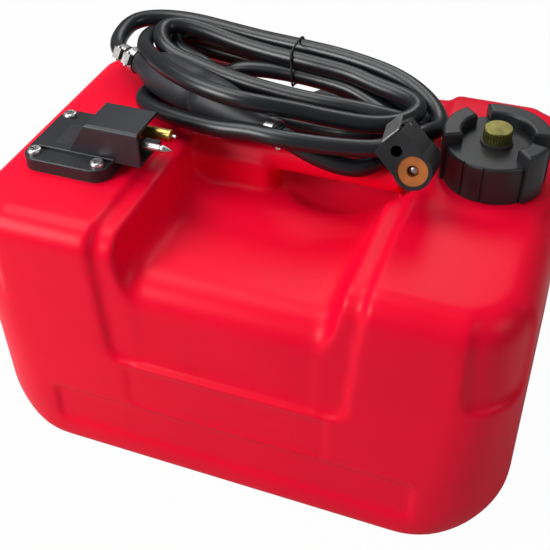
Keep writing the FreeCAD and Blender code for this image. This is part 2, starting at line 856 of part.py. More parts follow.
def crank(height, angle):
    """A short lever on an axle, with the link's pin at its end."""
    pin_x = window_x + crank_radius * math.cos(math.radians(angle))
    pin_z = height + crank_radius * math.sin(math.radians(angle))
    web = joined([
        rod(hub_radius, crank_thickness, (window_x, crank_y, height), BACK),
        rod(crank_eye_radius, crank_thickness, (pin_x, crank_y, pin_z), BACK),
        bar_between((window_x, height), (pin_x, pin_z), crank_web_width, crank_y,
                    crank_thickness)])
    pin_length = crank_thickness + frame_gap + link_thickness + frame_gap
    return web.fuse(rod(crank_pin_radius, pin_length, (pin_x, crank_y, pin_z), BACK))


def bar_between(start, stop, width, y, thickness):
    length = math.hypot(stop[0] - start[0], stop[1] - start[1])
    bar = Part.makeBox(length, thickness, width, Vector(0, y, -width / 2))
    angle = math.degrees(math.atan2(stop[1] - start[1], stop[0] - start[0]))
    bar.rotate(Vector(0, 0, 0), BACK, -angle)
    bar.translate(Vector(start[0], 0, start[1]))
    return bar


def gauge_drum():
    drum = rod(drum_radius, drum_length, (window_x, drum_front, drum_z), BACK)
    drum = drum.cut(ring(drum_radius - drum_wall, hub_radius, drum_length - drum_end,
                         (window_x, drum_front, drum_z), BACK))
    hub = rod(hub_radius, crank_y - drum_back, (window_x, drum_back, drum_z), BACK)
    spindle_hole = rod(axle_radius + axle_fit, 2 * drum_length,
                       (window_x, drum_front - frame_gap, drum_z), BACK)
    return joined([drum, hub, crank(drum_z, crank_rest_angle)]).cut(spindle_hole)


def drum_axle():
    return rod(axle_radius, link_y - frame_gap - frame_front_y,
               (window_x, frame_front_y, drum_z), BACK)


def gauge_link():
    """The rod that keeps the drum's crank and the arm's crank parallel."""
    pin_x = window_x + crank_radius * math.cos(math.radians(crank_rest_angle))
    lift = crank_radius * math.sin(math.radians(crank_rest_angle))
    low = float_pivot_z + lift
    high = drum_z + lift
    bar = box((pin_x - link_width / 2, link_y, low), (pin_x + link_width / 2,
                                                      link_y + link_thickness, high))
    for height in (low, high):
        bar = bar.fuse(rod(link_width / 2, link_thickness, (pin_x, link_y, height), BACK))
    bar = bar.removeSplitter()
    bar = bar.cut(rod(crank_pin_radius + axle_fit, link_thickness, (pin_x, link_y, high), BACK))
    return bar.cut(rod(crank_pin_radius + link_play, link_thickness, (pin_x, link_y, low), BACK))


def float_direction():
    angle = math.radians(float_rest_angle)
    return Vector(math.cos(angle), 0, -math.sin(angle))


def float_arm():
    hub = crank(float_pivot_z, crank_rest_angle)
    start = Vector(window_x, arm_y, float_pivot_z)
    wire = rod(float_wire_radius, float_arm_length, tuple(start), float_direction())
    return joined([hub, wire]).cut(
        rod(axle_radius + axle_fit, crank_thickness, (window_x, crank_y, float_pivot_z), BACK))


def float_pin():
    start = frame_back_y
    return rod(axle_radius, link_y - frame_gap - start, (window_x, start, float_pivot_z), BACK)


def float_body():
    float_front = arm_y - float_front_gap
    end = Vector(window_x, arm_y, float_pivot_z) + float_direction() * float_arm_length
    body = rod(float_radius, float_length, (end.x, float_front, end.z), BACK)
    body = filleted(body, float_edge_round, lambda p: p.y < float_front + 0.1
                    or p.y > float_front + float_length - 0.1)
    wire = rod(float_wire_radius, float_arm_length,
               (window_x, arm_y, float_pivot_z), float_direction())
    return body.cut(wire)


def pickup_tube():
    low = wall + pickup_clearance + strainer_cap
    return ring(pickup_radius, pickup_bore, nipple_z - pickup_bore - low,
                (pickup_x, pickup_y, low))


def pickup_strainer():
    low = wall + pickup_clearance
    body = rod(strainer_radius, strainer_length, (pickup_x, pickup_y, low))
    room = ring(strainer_radius - strainer_wall, pickup_radius,
                strainer_length - 2 * strainer_cap, (pickup_x, pickup_y, low + strainer_cap))
    body = body.cut(room)
    body = body.cut(rod(pickup_radius, strainer_length, (pickup_x, pickup_y,
                                                         low + strainer_cap)))
    return max(body.Solids, key=lambda solid: solid.Volume)


# --------------------------------------------------------- nipple and pin
nipple_end = shroud_right + nipple_reach


def outlet_nipple():
    start = mouth_x - nipple_root
    base = (start, nipple_y, nipple_z)
    body = rod(nipple_radius, nipple_end - start, base, ALONG)
    body = filleted(body, nipple_edge_round, lambda p: abs(p.x - nipple_end) < 0.01)
    flange = rod(nipple_flange_radius, nipple_flange_length, (mouth_x, nipple_y, nipple_z), ALONG)
    body = body.fuse(flange)
    body = body.cut(rod(nipple_bore, nipple_end - nipple_end_wall - start, base, ALONG))
    return body.cut(rod(valve_stem_radius + valve_stem_fit, nipple_end - start, base, ALONG))


def outlet_valve():
    """The plunger that shuts the nipple; its tip stands out and is pushed in to open."""
    seat = nipple_end - nipple_end_wall
    head = rod(nipple_bore - valve_head_fit, valve_head_length,
               (seat - valve_head_length, nipple_y, nipple_z), ALONG)
    length = nipple_end_wall + valve_stem_out
    stem = rod(valve_stem_radius, length, (seat, nipple_y, nipple_z), ALONG)
    stem = filleted(stem, valve_tip_round, lambda p: p.x > seat + length - 0.01)
    return head.fuse(stem)


def coil_spring(radius, length, base, axis, turns=spring_turns, wire=spring_wire):
    """An open coil spring along an axis, from its base point."""
    helix = Part.makeHelix(length / turns, length, radius)
    profile = Part.Wire(Part.makeCircle(wire, Vector(radius, 0, 0), Vector(0, 1, 0)))
    spring = Part.Wire(helix.Edges).makePipeShell([profile], True, True)
    spring.Placement = Placement(Vector(*base), Rotation(UP, axis))
    return spring


def outlet_spring():
    back = mouth_x - nipple_root
    seat = nipple_end - nipple_end_wall - valve_head_length - valve_travel
    length = seat - back - 2 * spring_wire
    return coil_spring(nipple_bore - spring_wire - spring_room, length,
                       (back + spring_wire, nipple_y, nipple_z), ALONG)


def guide_pin():
    start = mouth_x - guide_pin_root
    length = shroud_right + guide_pin_reach - start
    shaft = rod(guide_pin_radius, length - guide_pin_point, (start, guide_pin_y, nipple_z), ALONG)
    point = Part.makeCone(guide_pin_radius, guide_pin_tip, guide_pin_point,
                          Vector(start + length - guide_pin_point, guide_pin_y, nipple_z), ALONG)
    groove_x = start + length - guide_pin_point - guide_groove_back
    groove = ring(guide_pin_radius + 1, guide_pin_radius - guide_pin_groove, guide_groove_width,
                  (groove_x, guide_pin_y, nipple_z), ALONG)
    return shaft.fuse(point).cut(groove)


# --------------------------------------------------------------- connectors
def frame_at(origin, axis, guide):
    """Local +X to the hose, +Z from the fuel port to the guide hole."""
    x = Vector(*axis).normalize()
    z = Vector(*guide)
    z = (z - x * z.dot(x)).normalize()
    y = z.cross(x)
    return Matrix(x.x, y.x, z.x, origin[0], x.y, y.y, z.y, origin[1],
                  x.z, y.z, z.z, origin[2], 0, 0, 0, 1)


def placed(shape, matrix):
    moved = shape.copy()
    moved.transformShape(matrix)
    return moved


def connector_body():
    disc = rod(connector_radius, connector_length, (0, 0, 0), ALONG)
    corners = [(0, -connector_half_width, 0), (0, connector_half_width, 0),
               (0, connector_half_width, connector_top),
               (0, -connector_half_width, connector_top)]
    block = Part.Face(rounded_wire(corners, [0] * 4)).extrude(ALONG * connector_length)
    body = disc.fuse(block).removeSplitter()
    body = filleted(body, connector_edge_round, lambda p: p.z > connector_top - 0.01
                    and abs(p.y) > connector_half_width - 0.01)
    body = body.cut(rod(seal_radius, seal_setback + seal_depth, (0, 0, 0), ALONG))
    chamber_start = seal_setback + seal_depth
    body = body.cut(rod(ball_radius + ball_fit, ball_chamber - chamber_start,
                        (chamber_start, 0, 0), ALONG))
    body = body.cut(rod(guide_hole_radius, guide_hole_depth, (0, 0, pin_spacing), ALONG))
    half = latch_half_width + latch_ear_gap
    pocket = box((latch_pocket_start, -half, connector_top - latch_pocket_depth),
                 (connector_length + 1, half, connector_top + 1))
    body = body.cut(pocket)
    hook = box((latch_front - 1, -latch_hook_width / 2 - latch_ear_gap,
                pin_spacing + guide_hole_radius - latch_slot_open),
               (latch_front + latch_thickness + latch_hook_room,
                latch_hook_width / 2 + latch_ear_gap,
                connector_top + 1))
    body = body.cut(hook)
    for side in (-1, 1):
        near = side * half
        far = side * (half + latch_ear_thickness)
        ear = box((latch_pin_x - latch_ear_half, min(near, far), connector_top - wall / 2),
                  (latch_pin_x + latch_ear_half, max(near, far), latch_pin_z + latch_ear_over))
        body = body.fuse(ear)
    body = body.fuse(rod(barb_radius, barb_length, (connector_length, 0, 0), ALONG))
    body = body.cut(rod(fuel_bore, connector_length + barb_length, (0, 0, 0), ALONG))
    return body.cut(rod(latch_pin_radius, 4 * connector_radius,
                        (latch_pin_x, -2 * connector_radius, latch_pin_z), BACK))


def connector_seal():
    return ring(seal_radius, seal_bore, seal_depth, (seal_setback, 0, 0), ALONG)


ball_rest = (seal_setback + seal_depth
             + math.sqrt(ball_radius ** 2 - seal_bore ** 2) + ball_seat_gap)


def connector_ball():
    return Part.makeSphere(ball_radius, Vector(ball_rest, 0, 0))


def connector_spring():
    start = ball_rest + ball_travel + ball_radius + spring_wire
    length = ball_chamber - start - spring_wire
    return coil_spring(ball_radius - ball_spring_inset, length, (start, 0, 0), ALONG,
                       ball_spring_turns)


latch_pin_z = connector_top - latch_sink


def latch_lever():
    """A plate that rocks on its pin; its front edge hooks down into the guide pin's groove."""
    low = latch_pin_z + latch_rise
    plate_box = box((latch_front, -latch_half_width, low),
                    (latch_back, latch_half_width, low + latch_thickness))
    hook = box((latch_front, -latch_hook_width / 2, pin_spacing + guide_hole_radius + latch_hook_gap),
               (latch_front + latch_thickness, latch_hook_width / 2, low))
    pieces = [plate_box, hook]
    for y in (-latch_half_width, latch_half_width - latch_knuckle_width):
        pieces.append(box((latch_pin_x - latch_barrel_radius, y, latch_pin_z),
                          (latch_pin_x + latch_barrel_radius, y + latch_knuckle_width, low)))
        pieces.append(rod(latch_barrel_radius, latch_knuckle_width,
                          (latch_pin_x, y, latch_pin_z), BACK))
    bore = rod(latch_pin_radius + latch_pin_fit, 2 * connector_radius,
               (latch_pin_x, -connector_radius, latch_pin_z), BACK)
    return joined(pieces).cut(bore)


def latch_pin():
    return rod(latch_pin_radius, 2 * connector_half_width,
               (latch_pin_x, -connector_half_width, latch_pin_z), BACK)


def latch_spring():
    """A torsion coil wound round the pin, between the latch's two knuckles."""
    half = latch_half_width - latch_knuckle_width - latch_spring_wire - latch_pin_fit
    return coil_spring(latch_pin_radius + latch_spring_wire + latch_pin_fit, 2 * half,
                       (latch_pin_x, -half, latch_pin_z), BACK, latch_spring_turns,
                       latch_spring_wire)


# --------------------------------------------------------------- primer bulb
left_end = Vector(*bulb_left_end)
right_end = Vector(*bulb_right_end)
bulb_half = (right_end - left_end).Length / 2
bulb_matrix = frame_at(tuple((left_end + right_end) / 2), tuple(right_end - left_end), (0, 0, 1))


def bulb_profile(clear):
    """Half of the bulb's outline, from neck to neck, as a closed face to be spun."""
    neck = bulb_neck_radius + clear
    full = bulb_radius + clear
    left_neck = -bulb_half + bulb_neck_length
    right_neck = bulb_half - bulb_neck_length
    points = [(-bulb_half, 0, 0), (-bulb_half, 0, neck), (left_neck, 0, neck),
              (left_neck + bulb_left_taper, 0, full), (right_neck - bulb_right_taper, 0, full),
              (right_neck, 0, neck), (bulb_half, 0, neck), (bulb_half, 0, 0)]
    radii = (0, 0) + bulb_rounds + (0, 0)
    return Part.Face(rounded_wire(points, radii))


def primer_bulb():
    body = bulb_profile(0).revolve(Vector(0, 0, 0), ALONG, 360)
    inner = bulb_profile(-bulb_wall).revolve(Vector(0, 0, 0), ALONG, 360)
    body = body.cut(inner)
    for side in (-1, 1):
        start = -bulb_half if side < 0 else bulb_half - fitting_spigot
        body = body.cut(rod(fitting_radius, fitting_spigot, (start, 0, 0), ALONG))
    return placed(body, bulb_matrix)


def bulb_fitting(side):
    """A barbed plug for one end of the bulb, with a chamber for its check valve."""
    face = side * bulb_half
    inward = ALONG * -side
    outward = ALONG * side
    spigot = rod(fitting_radius, fitting_spigot, (face, 0, 0), inward)
    flange = rod(fitting_flange_radius, fitting_flange_length, (face, 0, 0), outward)
    tail = rod(barb_radius, barb_length, (face + side * fitting_flange_length, 0, 0), outward)
    body = joined([spigot, flange, tail])
    chamber = rod(valve_disc_radius + valve_chamber_fit, chamber_length,
                  (face - side * (fitting_spigot - fitting_lip), 0, 0), outward)
    body = body.cut(chamber)
    through = fitting_spigot + fitting_flange_length + barb_length
    return body.cut(rod(fuel_bore, through, (face - side * fitting_spigot, 0, 0), outward))


def valve_disc(side):
    """Fuel runs toward -X; each disc shuts against the end that the fuel comes from."""
    inner_end = side * (bulb_half - fitting_spigot + fitting_lip)
    seat = inner_end + chamber_length if side > 0 else inner_end
    return rod(valve_disc_radius, valve_disc_thickness, (seat - valve_seat_gap, 0, 0), -ALONG)


def hose_clamp(radius, at, turn):
    """A band with its screw block, round a hose or a neck that runs along X."""
    inner = radius + clamp_fit
    band = ring(inner + clamp_thickness, inner, clamp_width, (at - clamp_width / 2, 0, 0), ALONG)
    block = box((at - clamp_width / 2, -clamp_block, inner + clamp_thickness / 2),
                (at + clamp_width / 2, clamp_block, inner + clamp_block_height))
    screw = rod(clamp_screw_radius, 2 * (clamp_block + clamp_screw_over),
                (at, -clamp_block - clamp_screw_over, inner + clamp_screw_lift), BACK)
    clamp = joined([band, block, screw])
    clamp.rotate(Vector(0, 0, 0), ALONG, turn)
    return clamp


def hose_clamps():
    """Two at each end of the bulb, and one behind each connector."""
    clamps = []
    for side, turn in ((-1, left_clamp_turn), (1, right_clamp_turn)):
        neck = hose_clamp(bulb_neck_radius, side * (bulb_half - neck_clamp_from_end), turn)
        hose = hose_clamp(hose_radius, side * (hose_seat + clamp_from_end), turn)
        clamps += [placed(neck, bulb_matrix), placed(hose, bulb_matrix)]
    for matrix in (engine_matrix, tank_matrix):
        clamp = hose_clamp(hose_radius, connector_length + clamp_from_end, connector_clamp_turn)
        clamps.append(placed(clamp, matrix))
    return Part.makeCompound(clamps)


# ------------------------------------------------------------ hose and ties
def cord_radii(points):
    """The largest arc that both runs at each corner leave room for."""
    radii = [0.0]
    for before, corner, after in zip(points, points[1:], points[2:]):
        back = Vector(*before) - Vector(*corner)
        ahead = Vector(*after) - Vector(*corner)
        half_turn = (math.pi - back.getAngle(ahead)) / 2
        radii.append(run_share * min(back.Length, ahead.Length) / math.tan(half_turn))
    radii.append(0.0)
    return radii


def cord_tube(name, points):
    """A round tube along straight runs and tangent arcs."""
    radii = cord_radii(points)
    path = rounded_wire(points, radii, closed=False)
    start = Vector(*points[0])
    direction = Vector(*points[1]) - start
    section = Part.Wire(Part.makeCircle(hose_radius, start, direction))
    body = path.makePipeShell([section], True, False)
    bore = grown_tube(points, hose_bore - hose_radius)
    expected = math.pi * hose_radius ** 2 * path.Length
    print(name, "length", round(path.Length, 1), "radii",
          [round(radius) for radius in radii[1:-1]],
          "volume ratio", round(body.Volume / expected, 4))
    return body.cut(bore)


def along(matrix, point):
    return tuple(matrix.multVec(Vector(*point)))


engine_matrix = frame_at(engine_connector_at, engine_connector_axis, engine_connector_guide)
tank_matrix = frame_at(tank_connector_at, tank_connector_axis, tank_connector_guide)
hose_seat = bulb_half + fitting_flange_length
bulb_lead = (along(bulb_matrix, (-hose_seat, 0, 0)),
             along(bulb_matrix, (-hose_seat - bulb_lead_start, 0, 0))) + bulb_lead_points
engine_lead = (along(engine_matrix, (connector_length, 0, 0)),
               along(engine_matrix, (connector_length + engine_lead_start, 0, 0))
               ) + engine_lead_points
tank_lead = ((along(bulb_matrix, (hose_seat, 0, 0)),
              along(bulb_matrix, (hose_seat + tank_lead_start, 0, 0)))
             + tank_lead_points
             + (along(tank_matrix, (connector_length + tank_lead_end, 0, 0)),
                along(tank_matrix, (connector_length, 0, 0))))


def grown_tube(points, clearance):
    """The room that a tube needs, for cutting what lies against it."""
    path = rounded_wire(points, cord_radii(points), closed=False)
    start = Vector(*points[0])
    direction = Vector(*points[1]) - start
    section = Part.Wire(Part.makeCircle(hose_radius + clearance, start, direction))
    return path.makePipeShell([section], True, False)


def coil_top(x, y):
    return (coil_high - coil_fall_x * (x - coil_high_at[0])
            - coil_fall_y * (y - coil_high_at[1]))


def pile_block(reach):
    """All the space between the pile's level underside and its slanting top."""
    corners = [(-reach, -reach), (reach, -reach), (reach, reach), (-reach, reach)]
    top = [Vector(x, y, coil_top(x, y)) for x, y in corners]
    low = [Vector(x, y, coil_low) for x, y in corners]
    faces = [Part.Face(Part.makePolygon(low + low[:1])), Part.Face(Part.makePolygon(top + top[:1]))]
    for index in range(4):
        after = (index + 1) % 4
        wall_points = [low[index], low[after], top[after], top[index], low[index]]
        faces.append(Part.Face(Part.makePolygon(wall_points)))
    return Part.Solid(Part.Shell(faces))


def pile():
    """The outer shape of the loose turns: one oval ring, open in the middle."""
    curve = Part.BSplineCurve()
    curve.interpolate([Vector(x, y, coil_low) for x, y in coil_outline], PeriodicFlag=True)
    body = Part.Face(Part.Wire(curve.toShape())).extrude(UP * beyond)
    hole = Part.Ellipse(Vector(0, 0, 0), coil_hole_half[0], coil_hole_half[1]).toShape()
    hole.rotate(Vector(0, 0, 0), UP, coil_hole_turn)
    hole.translate(Vector(coil_hole[0], coil_hole[1], coil_low))
    body = body.cut(Part.Face(Part.Wire(hole)).extrude(UP * beyond))
    body = body.common(pile_block(2 * half_length))
    rims = [edge for edge in body.Edges if edge.Length > beyond]
    return body.makeFillet(coil_round, rims)


def pile_clearances():
    """The room in the pile for the bulb, its fittings and the three leads."""
    bulb = bulb_profile(coil_clear).revolve(Vector(0, 0, 0), ALONG, 360)
    flanges = rod(fitting_flange_radius + coil_clear, 2 * hose_seat, (-hose_seat, 0, 0), ALONG)
    tail_reach = hose_seat + barb_length
    tails = rod(barb_radius + coil_clear, 2 * tail_reach, (-tail_reach, 0, 0), ALONG)
    leads = [grown_tube(points, coil_clear)
             for points in (bulb_lead, engine_lead, tank_lead)]
    return [placed(bulb.fuse([flanges, tails]), bulb_matrix)] + leads


def hose_coil(keep_clear):
    body = pile()
    for shape in keep_clear:
        body = body.cut(shape)
    return max(body.Solids, key=lambda solid: solid.Volume)


def tie_loop(near, far, grow):
    """A closed loop round the pile's back run, upright and square to the strap's width."""
    out = Rotation(UP, tie_turn).multVec(BACK)
    across = out.cross(UP)
    corners = []
    for reach, low in ((near - grow, True), (far + grow, True),
                       (far + grow, False), (near - grow, False)):
        spot = Vector(coil_hole[0], coil_hole[1], 0) + out * reach
        height = coil_low - grow if low else coil_top(spot.x, spot.y) + grow
        corners.append(tuple(spot + UP * height - across * (tie_width / 2)))
    face = Part.Face(rounded_wire(corners, [coil_round + grow] * 4))
    return face.extrude(across * tie_width)


def coil_tie():
    """A thin strap drawn round the pile's back run."""
    start = Vector(coil_hole[0], coil_hole[1], (coil_low + coil_high) / 2)
    out = Rotation(UP, tie_turn).multVec(Vector(0, half_depth, 0))
    crossing = pile().common(Part.LineSegment(start, start + out).toShape())
    reaches = [(vertex.Point - start).Length for vertex in crossing.Vertexes]
    near = min(reaches)
    far = max(reaches)
    strap = tie_loop(near, far, tie_clear + tie_thickness)
    return strap.cut(tie_loop(near, far, tie_clear))


def main():
    os.makedirs("parts", exist_ok=True)
    export("tank_body", tank_body())
    export("insert_nuts", insert_nuts())
    export("cap_gasket", cap_gasket())
    export("cap_shell", cap_shell())
    export("vent_washer", vent_washer())
    export("vent_knob", vent_knob())
    export("flange_gasket", flange_gasket_ring())
    export("outlet_flange", outlet_flange())
    export("flange_screws", flange_screws())
    export("gauge_lens", gauge_lens())
    export("gauge_frame", gauge_frame())
    export("gauge_drum", gauge_drum())
    export("drum_axle", drum_axle())
    export("gauge_link", gauge_link())
    export("float_arm", float_arm())
    export("float_pin", float_pin())
    export("float", float_body())
    export("pickup_tube", pickup_tube())
    export("pickup_strainer", pickup_strainer())
    export("outlet_nipple", outlet_nipple())
    export("outlet_valve", outlet_valve())
    export("outlet_spring", outlet_spring())
    export("guide_pin", guide_pin())
    connectors = (("engine", engine_matrix), ("tank", tank_matrix))
    bodies = []
    for name, matrix in connectors:
        bodies.append(export(name + "_connector_body", placed(connector_body(), matrix)))
        export(name + "_connector_seal", placed(connector_seal(), matrix))
        export(name + "_connector_ball", placed(connector_ball(), matrix))
        export(name + "_connector_spring", placed(connector_spring(), matrix))
        export(name + "_latch_lever", placed(latch_lever(), matrix))
        export(name + "_latch_pin", placed(latch_pin(), matrix))
        export(name + "_latch_spring", placed(latch_spring(), matrix))
    export("primer_bulb", primer_bulb())
    outlet = export("bulb_outlet_fitting", placed(bulb_fitting(-1), bulb_matrix))
    inlet = export("bulb_inlet_fitting", placed(bulb_fitting(1), bulb_matrix))
    export("outlet_valve_disc", placed(valve_disc(-1), bulb_matrix))
    export("inlet_valve_disc", placed(valve_disc(1), bulb_matrix))
    clamps = export("hose_clamps", hose_clamps())
    export("hose_coil", hose_coil(pile_clearances() + [clamps]))
    export("bulb_lead", cord_tube("bulb_lead", bulb_lead).cut(outlet))
    export("engine_lead", cord_tube("engine_lead", engine_lead).cut(bodies[0]))
    export("tank_lead", cord_tube("tank_lead", tank_lead).cut([inlet, bodies[1]]))
    export("coil_tie", coil_tie())


main()
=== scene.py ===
# %% [markdown]
# # A portable fuel tank with its primer hose
#
# The tank is a hollow plastic box with a moulded handle. On top of it lie a screw cap, an outlet
# with a level gauge, and a long rubber hose with a primer bulb. The model comes with every solid
# in place. This lesson dresses it: the hose, the soft plastic skin, the bulb, and a finish for
# every piece.

# %% Load the model
import json
import math

import bmesh
import bpy
from mathutils import Matrix, Vector


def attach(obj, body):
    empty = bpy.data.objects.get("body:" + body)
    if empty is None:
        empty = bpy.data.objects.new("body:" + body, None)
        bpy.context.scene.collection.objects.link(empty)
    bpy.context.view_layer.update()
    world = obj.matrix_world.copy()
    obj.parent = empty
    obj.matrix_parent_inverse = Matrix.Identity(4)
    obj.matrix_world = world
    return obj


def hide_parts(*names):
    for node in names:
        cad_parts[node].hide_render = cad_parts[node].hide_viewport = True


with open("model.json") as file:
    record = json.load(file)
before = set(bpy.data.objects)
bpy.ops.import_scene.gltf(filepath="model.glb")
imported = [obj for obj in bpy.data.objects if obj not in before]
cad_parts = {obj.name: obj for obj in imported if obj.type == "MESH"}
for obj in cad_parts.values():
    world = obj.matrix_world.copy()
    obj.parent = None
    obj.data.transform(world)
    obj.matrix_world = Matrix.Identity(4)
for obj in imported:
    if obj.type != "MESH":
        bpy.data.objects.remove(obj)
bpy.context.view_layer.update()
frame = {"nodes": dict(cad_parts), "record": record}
print("pieces in the model:", len(frame["nodes"]))

# %% [markdown]
# The drawing of the tank counts millimetres from under the middle of the hand recess. The model
# stands on its own middle and counts metres. One small helper turns the first into the second.

# %% From the drawing to the model
shift_x, shift_y = 4.25, -6.6


def at(x, y, z):
    """A place in the drawing, in mm, as a place in the model, in metres."""
    return Vector(((x + shift_x) / 1000, (y + shift_y) / 1000, z / 1000))


print("recess middle:", at(0, 0, 241))

# %% [markdown]
# ## The camera
#
# It looks down on the tank from the right of the front. Three axes fix how it is turned: its
# right, its up, and the way back from what it sees. They could come from a target to look at,
# but that leaves the small roll out.

# %% Camera
camera_data = bpy.data.cameras.new("camera")
camera_data.sensor_width = 36.0
camera_data.lens = 59.47
camera = bpy.data.objects.new("camera", camera_data)
camera_place = (0.22175, -0.5861, 0.6669)
camera_axes = Matrix((
    (0.9370, -0.2180, 0.2740),
    (0.3500, 0.6270, -0.6960),
    (-0.0210, 0.7480, 0.6640),
)).to_quaternion()
camera.matrix_world = (Matrix.Translation(camera_place)
                       @ camera_axes.to_matrix().to_4x4())
bpy.context.scene.collection.objects.link(camera)
bpy.context.scene.camera = camera
print("camera at", camera.location)

# %% [markdown]
# ## The hose
#
# Fuel hose is thick, stiff rubber, 15 mm outside. From the bulb's outlet it goes round the coil
# in five loose turns and ends in the connector for the engine. A tube could be swept as a mesh,
# but one smooth curve with a round bevel keeps its line easy to bend by hand. Its points are the
# places that the line is drawn towards, and it cuts inside each of them.

# %% The line of the engine hose
engine_hose_points = [
    # out of the bulb, and round the left end
    (-179.1, 78.6, 267.1), (-189.0, 82.5, 267.6), (-197.5, 90.0, 268.3), (-203.5, 106.0, 270.2),
    (-202.2, 128.5, 274.0), (-188.7, 142.3, 274.8), (-166.2, 150.6, 273.8),
    (-140.6, 152.2, 272.8), (-108.5, 149.3, 270.9), (-73.8, 143.7, 270.4),
    # first turn: the outer strand at the back, round the right end, and the low strand in front
    (-34.1, 137.1, 271.9), (16.2, 128.3, 272.7), (66.8, 112.5, 271.4), (102.5, 86.0, 265.8),
    (116.1, 58.0, 262.4), (106.7, 38.2, 268.5), (95.3, 23.0, 267.7), (82.3, 13.8, 265.4),
    (69.4, 8.7, 263.2), (38.5, 1.8, 263.8), (-1.4, -4.5, 266.0), (-28.7, -0.9, 265.7),
    (-57.6, 1.5, 261.0), (-89.0, 9.5, 257.0), (-123.2, 21.0, 253.5), (-148.0, 36.0, 251.0),
    # second turn: under the bulb, and the inner strand at the back
    (-152.0, 58.0, 248.8), (-132.7, 83.6, 249.5), (-112.6, 96.6, 249.0), (-92.9, 102.9, 251.7),
    (-80.8, 104.9, 258.3), (-60.3, 107.6, 259.9), (-34.0, 109.7, 258.9), (-5.0, 107.9, 257.9),
    (24.7, 102.4, 257.3), (46.9, 92.4, 253.9), (64.3, 82.4, 252.3), (72.4, 70.4, 251.9),
    (69.5, 58.2, 251.8), (58.0, 49.5, 250.2), (40.9, 46.1, 249.1), (24.3, 47.1, 247.4),
    (-11.5, 46.6, 248.4), (-39.1, 51.9, 249.8), (-61.2, 63.9, 253.0), (-85.5, 78.6, 256.9),
    # third turn
    (-110.1, 95.2, 262.4), (-138.0, 105.0, 264.0), (-155.0, 119.0, 267.0),
    (-150.0, 133.0, 268.0), (-130.4, 137.6, 266.5), (-109.5, 133.4, 264.6),
    (-59.8, 129.0, 259.7), (-16.5, 124.4, 259.0), (22.1, 117.6, 259.0), (53.3, 105.5, 258.2),
    (78.0, 92.0, 258.5), (100.0, 73.0, 259.0), (98.0, 57.5, 262.0), (70.0, 54.7, 266.7),
    (49.1, 54.7, 268.2), (21.8, 53.2, 269.6), (-0.6, 54.1, 269.6), (-28.5, 56.8, 270.1),
    (-57.2, 59.9, 271.5), (-83.1, 65.8, 272.5), (-110.4, 73.6, 274.0), (-128.0, 76.3, 276.0),
    # fourth turn
    (-142.4, 82.3, 279.0), (-154.0, 94.5, 281.5), (-160.0, 112.5, 283.0), (-146.5, 123.8, 283.0),
    (-123.2, 125.6, 279.3), (-95.2, 122.6, 274.2), (-63.7, 117.5, 271.9), (-24.9, 111.1, 272.2),
    (23.0, 106.4, 270.6), (48.5, 96.1, 268.9), (75.0, 85.5, 270.0), (91.5, 73.0, 271.5),
    (94.5, 58.5, 271.5), (85.0, 42.5, 270.5), (63.5, 33.3, 269.4), (30.0, 27.5, 272.8),
    (5.5, 24.1, 276.5), (-23.8, 14.9, 282.7), (-46.1, 12.1, 285.2), (-75.0, 17.4, 286.2),
    (-99.7, 27.7, 285.7), (-126.7, 44.6, 283.5), (-151.4, 66.5, 280.5),
    # last run: hidden at the back, and round to the engine's connector
    (-164.5, 82.0, 278.0), (-177.6, 112.6, 271.0), (-179.0, 135.4, 265.0), (-160.8, 138.5, 259.5),
    (-126.4, 139.2, 251.8), (-86.7, 138.3, 249.5), (-44.8, 135.3, 246.9), (-2.9, 127.4, 245.1),
    (36.6, 113.8, 244.5), (69.9, 93.9, 245.3), (92.6, 67.5, 250.5), (106.5, 42.5, 256.5),
    (112.9, 15.5, 266.1), (113.1, -1.7, 271.45),
]
print("points on the engine hose:", len(engine_hose_points))

# %% [markdown]
# The second hose is short. It feeds the bulb, and its other end dives under the coil into the
# hand recess, where the connector for the tank is kept.

# %% The line of the tank hose
tank_hose_points = [
    (-5.3, 9.3, 259.1), (12.5, 5.0, 254.0), (31.0, 3.5, 248.6), (48.1, 4.0, 245.0),
    (64.0, 7.8, 244.0), (76.0, 18.2, 248.0), (82.0, 36.8, 248.6), (80.5, 60.3, 241.5),
    (66.5, 84.9, 231.0), (44.7, 106.9, 220.6), (22.4, 126.2, 215.9),
]
print("points on the tank hose:", len(tank_hose_points))

# %% [markdown]
# The same two steps serve every line in this lesson: draw a spline towards a row of points, and
# give a curve a round bevel. The bevel's depth is half of the hose's diameter.

# %% A spline, and a hose round it
hose_diameter = 0.015


def drawn_spline(curve, points):
    """A NURBS spline in a curve, drawn towards points in mm."""
    spline = curve.splines.new("NURBS")
    spline.points.add(len(points) - 1)
    for point, place in zip(spline.points, points):
        point.co = (*at(*place), 1.0)
    spline.order_u = 3
    return spline


def bent_hose(name, points):
    """A round hose that follows a row of points in mm."""
    curve = bpy.data.curves.new(name, "CURVE")
    curve.dimensions = "3D"
    curve.resolution_u = 9
    curve.bevel_depth = hose_diameter / 2
    curve.bevel_resolution = 8
    curve.use_fill_caps = True
    spline = drawn_spline(curve, points)
    spline.use_endpoint_u = True
    spline.use_smooth = True
    hose = bpy.data.objects.new(name, curve)
    bpy.context.scene.collection.objects.link(hose)
    return hose


engine_hose = bent_hose("engine_hose", engine_hose_points)
tank_hose = bent_hose("tank_hose", tank_hose_points)
print("hoses:", engine_hose.name, tank_hose.name)

# %% [markdown]
# The middle lines of both hoses are measured, and their lengths printed.

# %% Measure both hoses
def mesh_of(curve):
    """The mesh that a curve draws."""
    carrier = bpy.data.objects.new("carrier", curve)
    mesh = bpy.data.meshes.new_from_object(carrier)
    bpy.data.objects.remove(carrier)
    return mesh


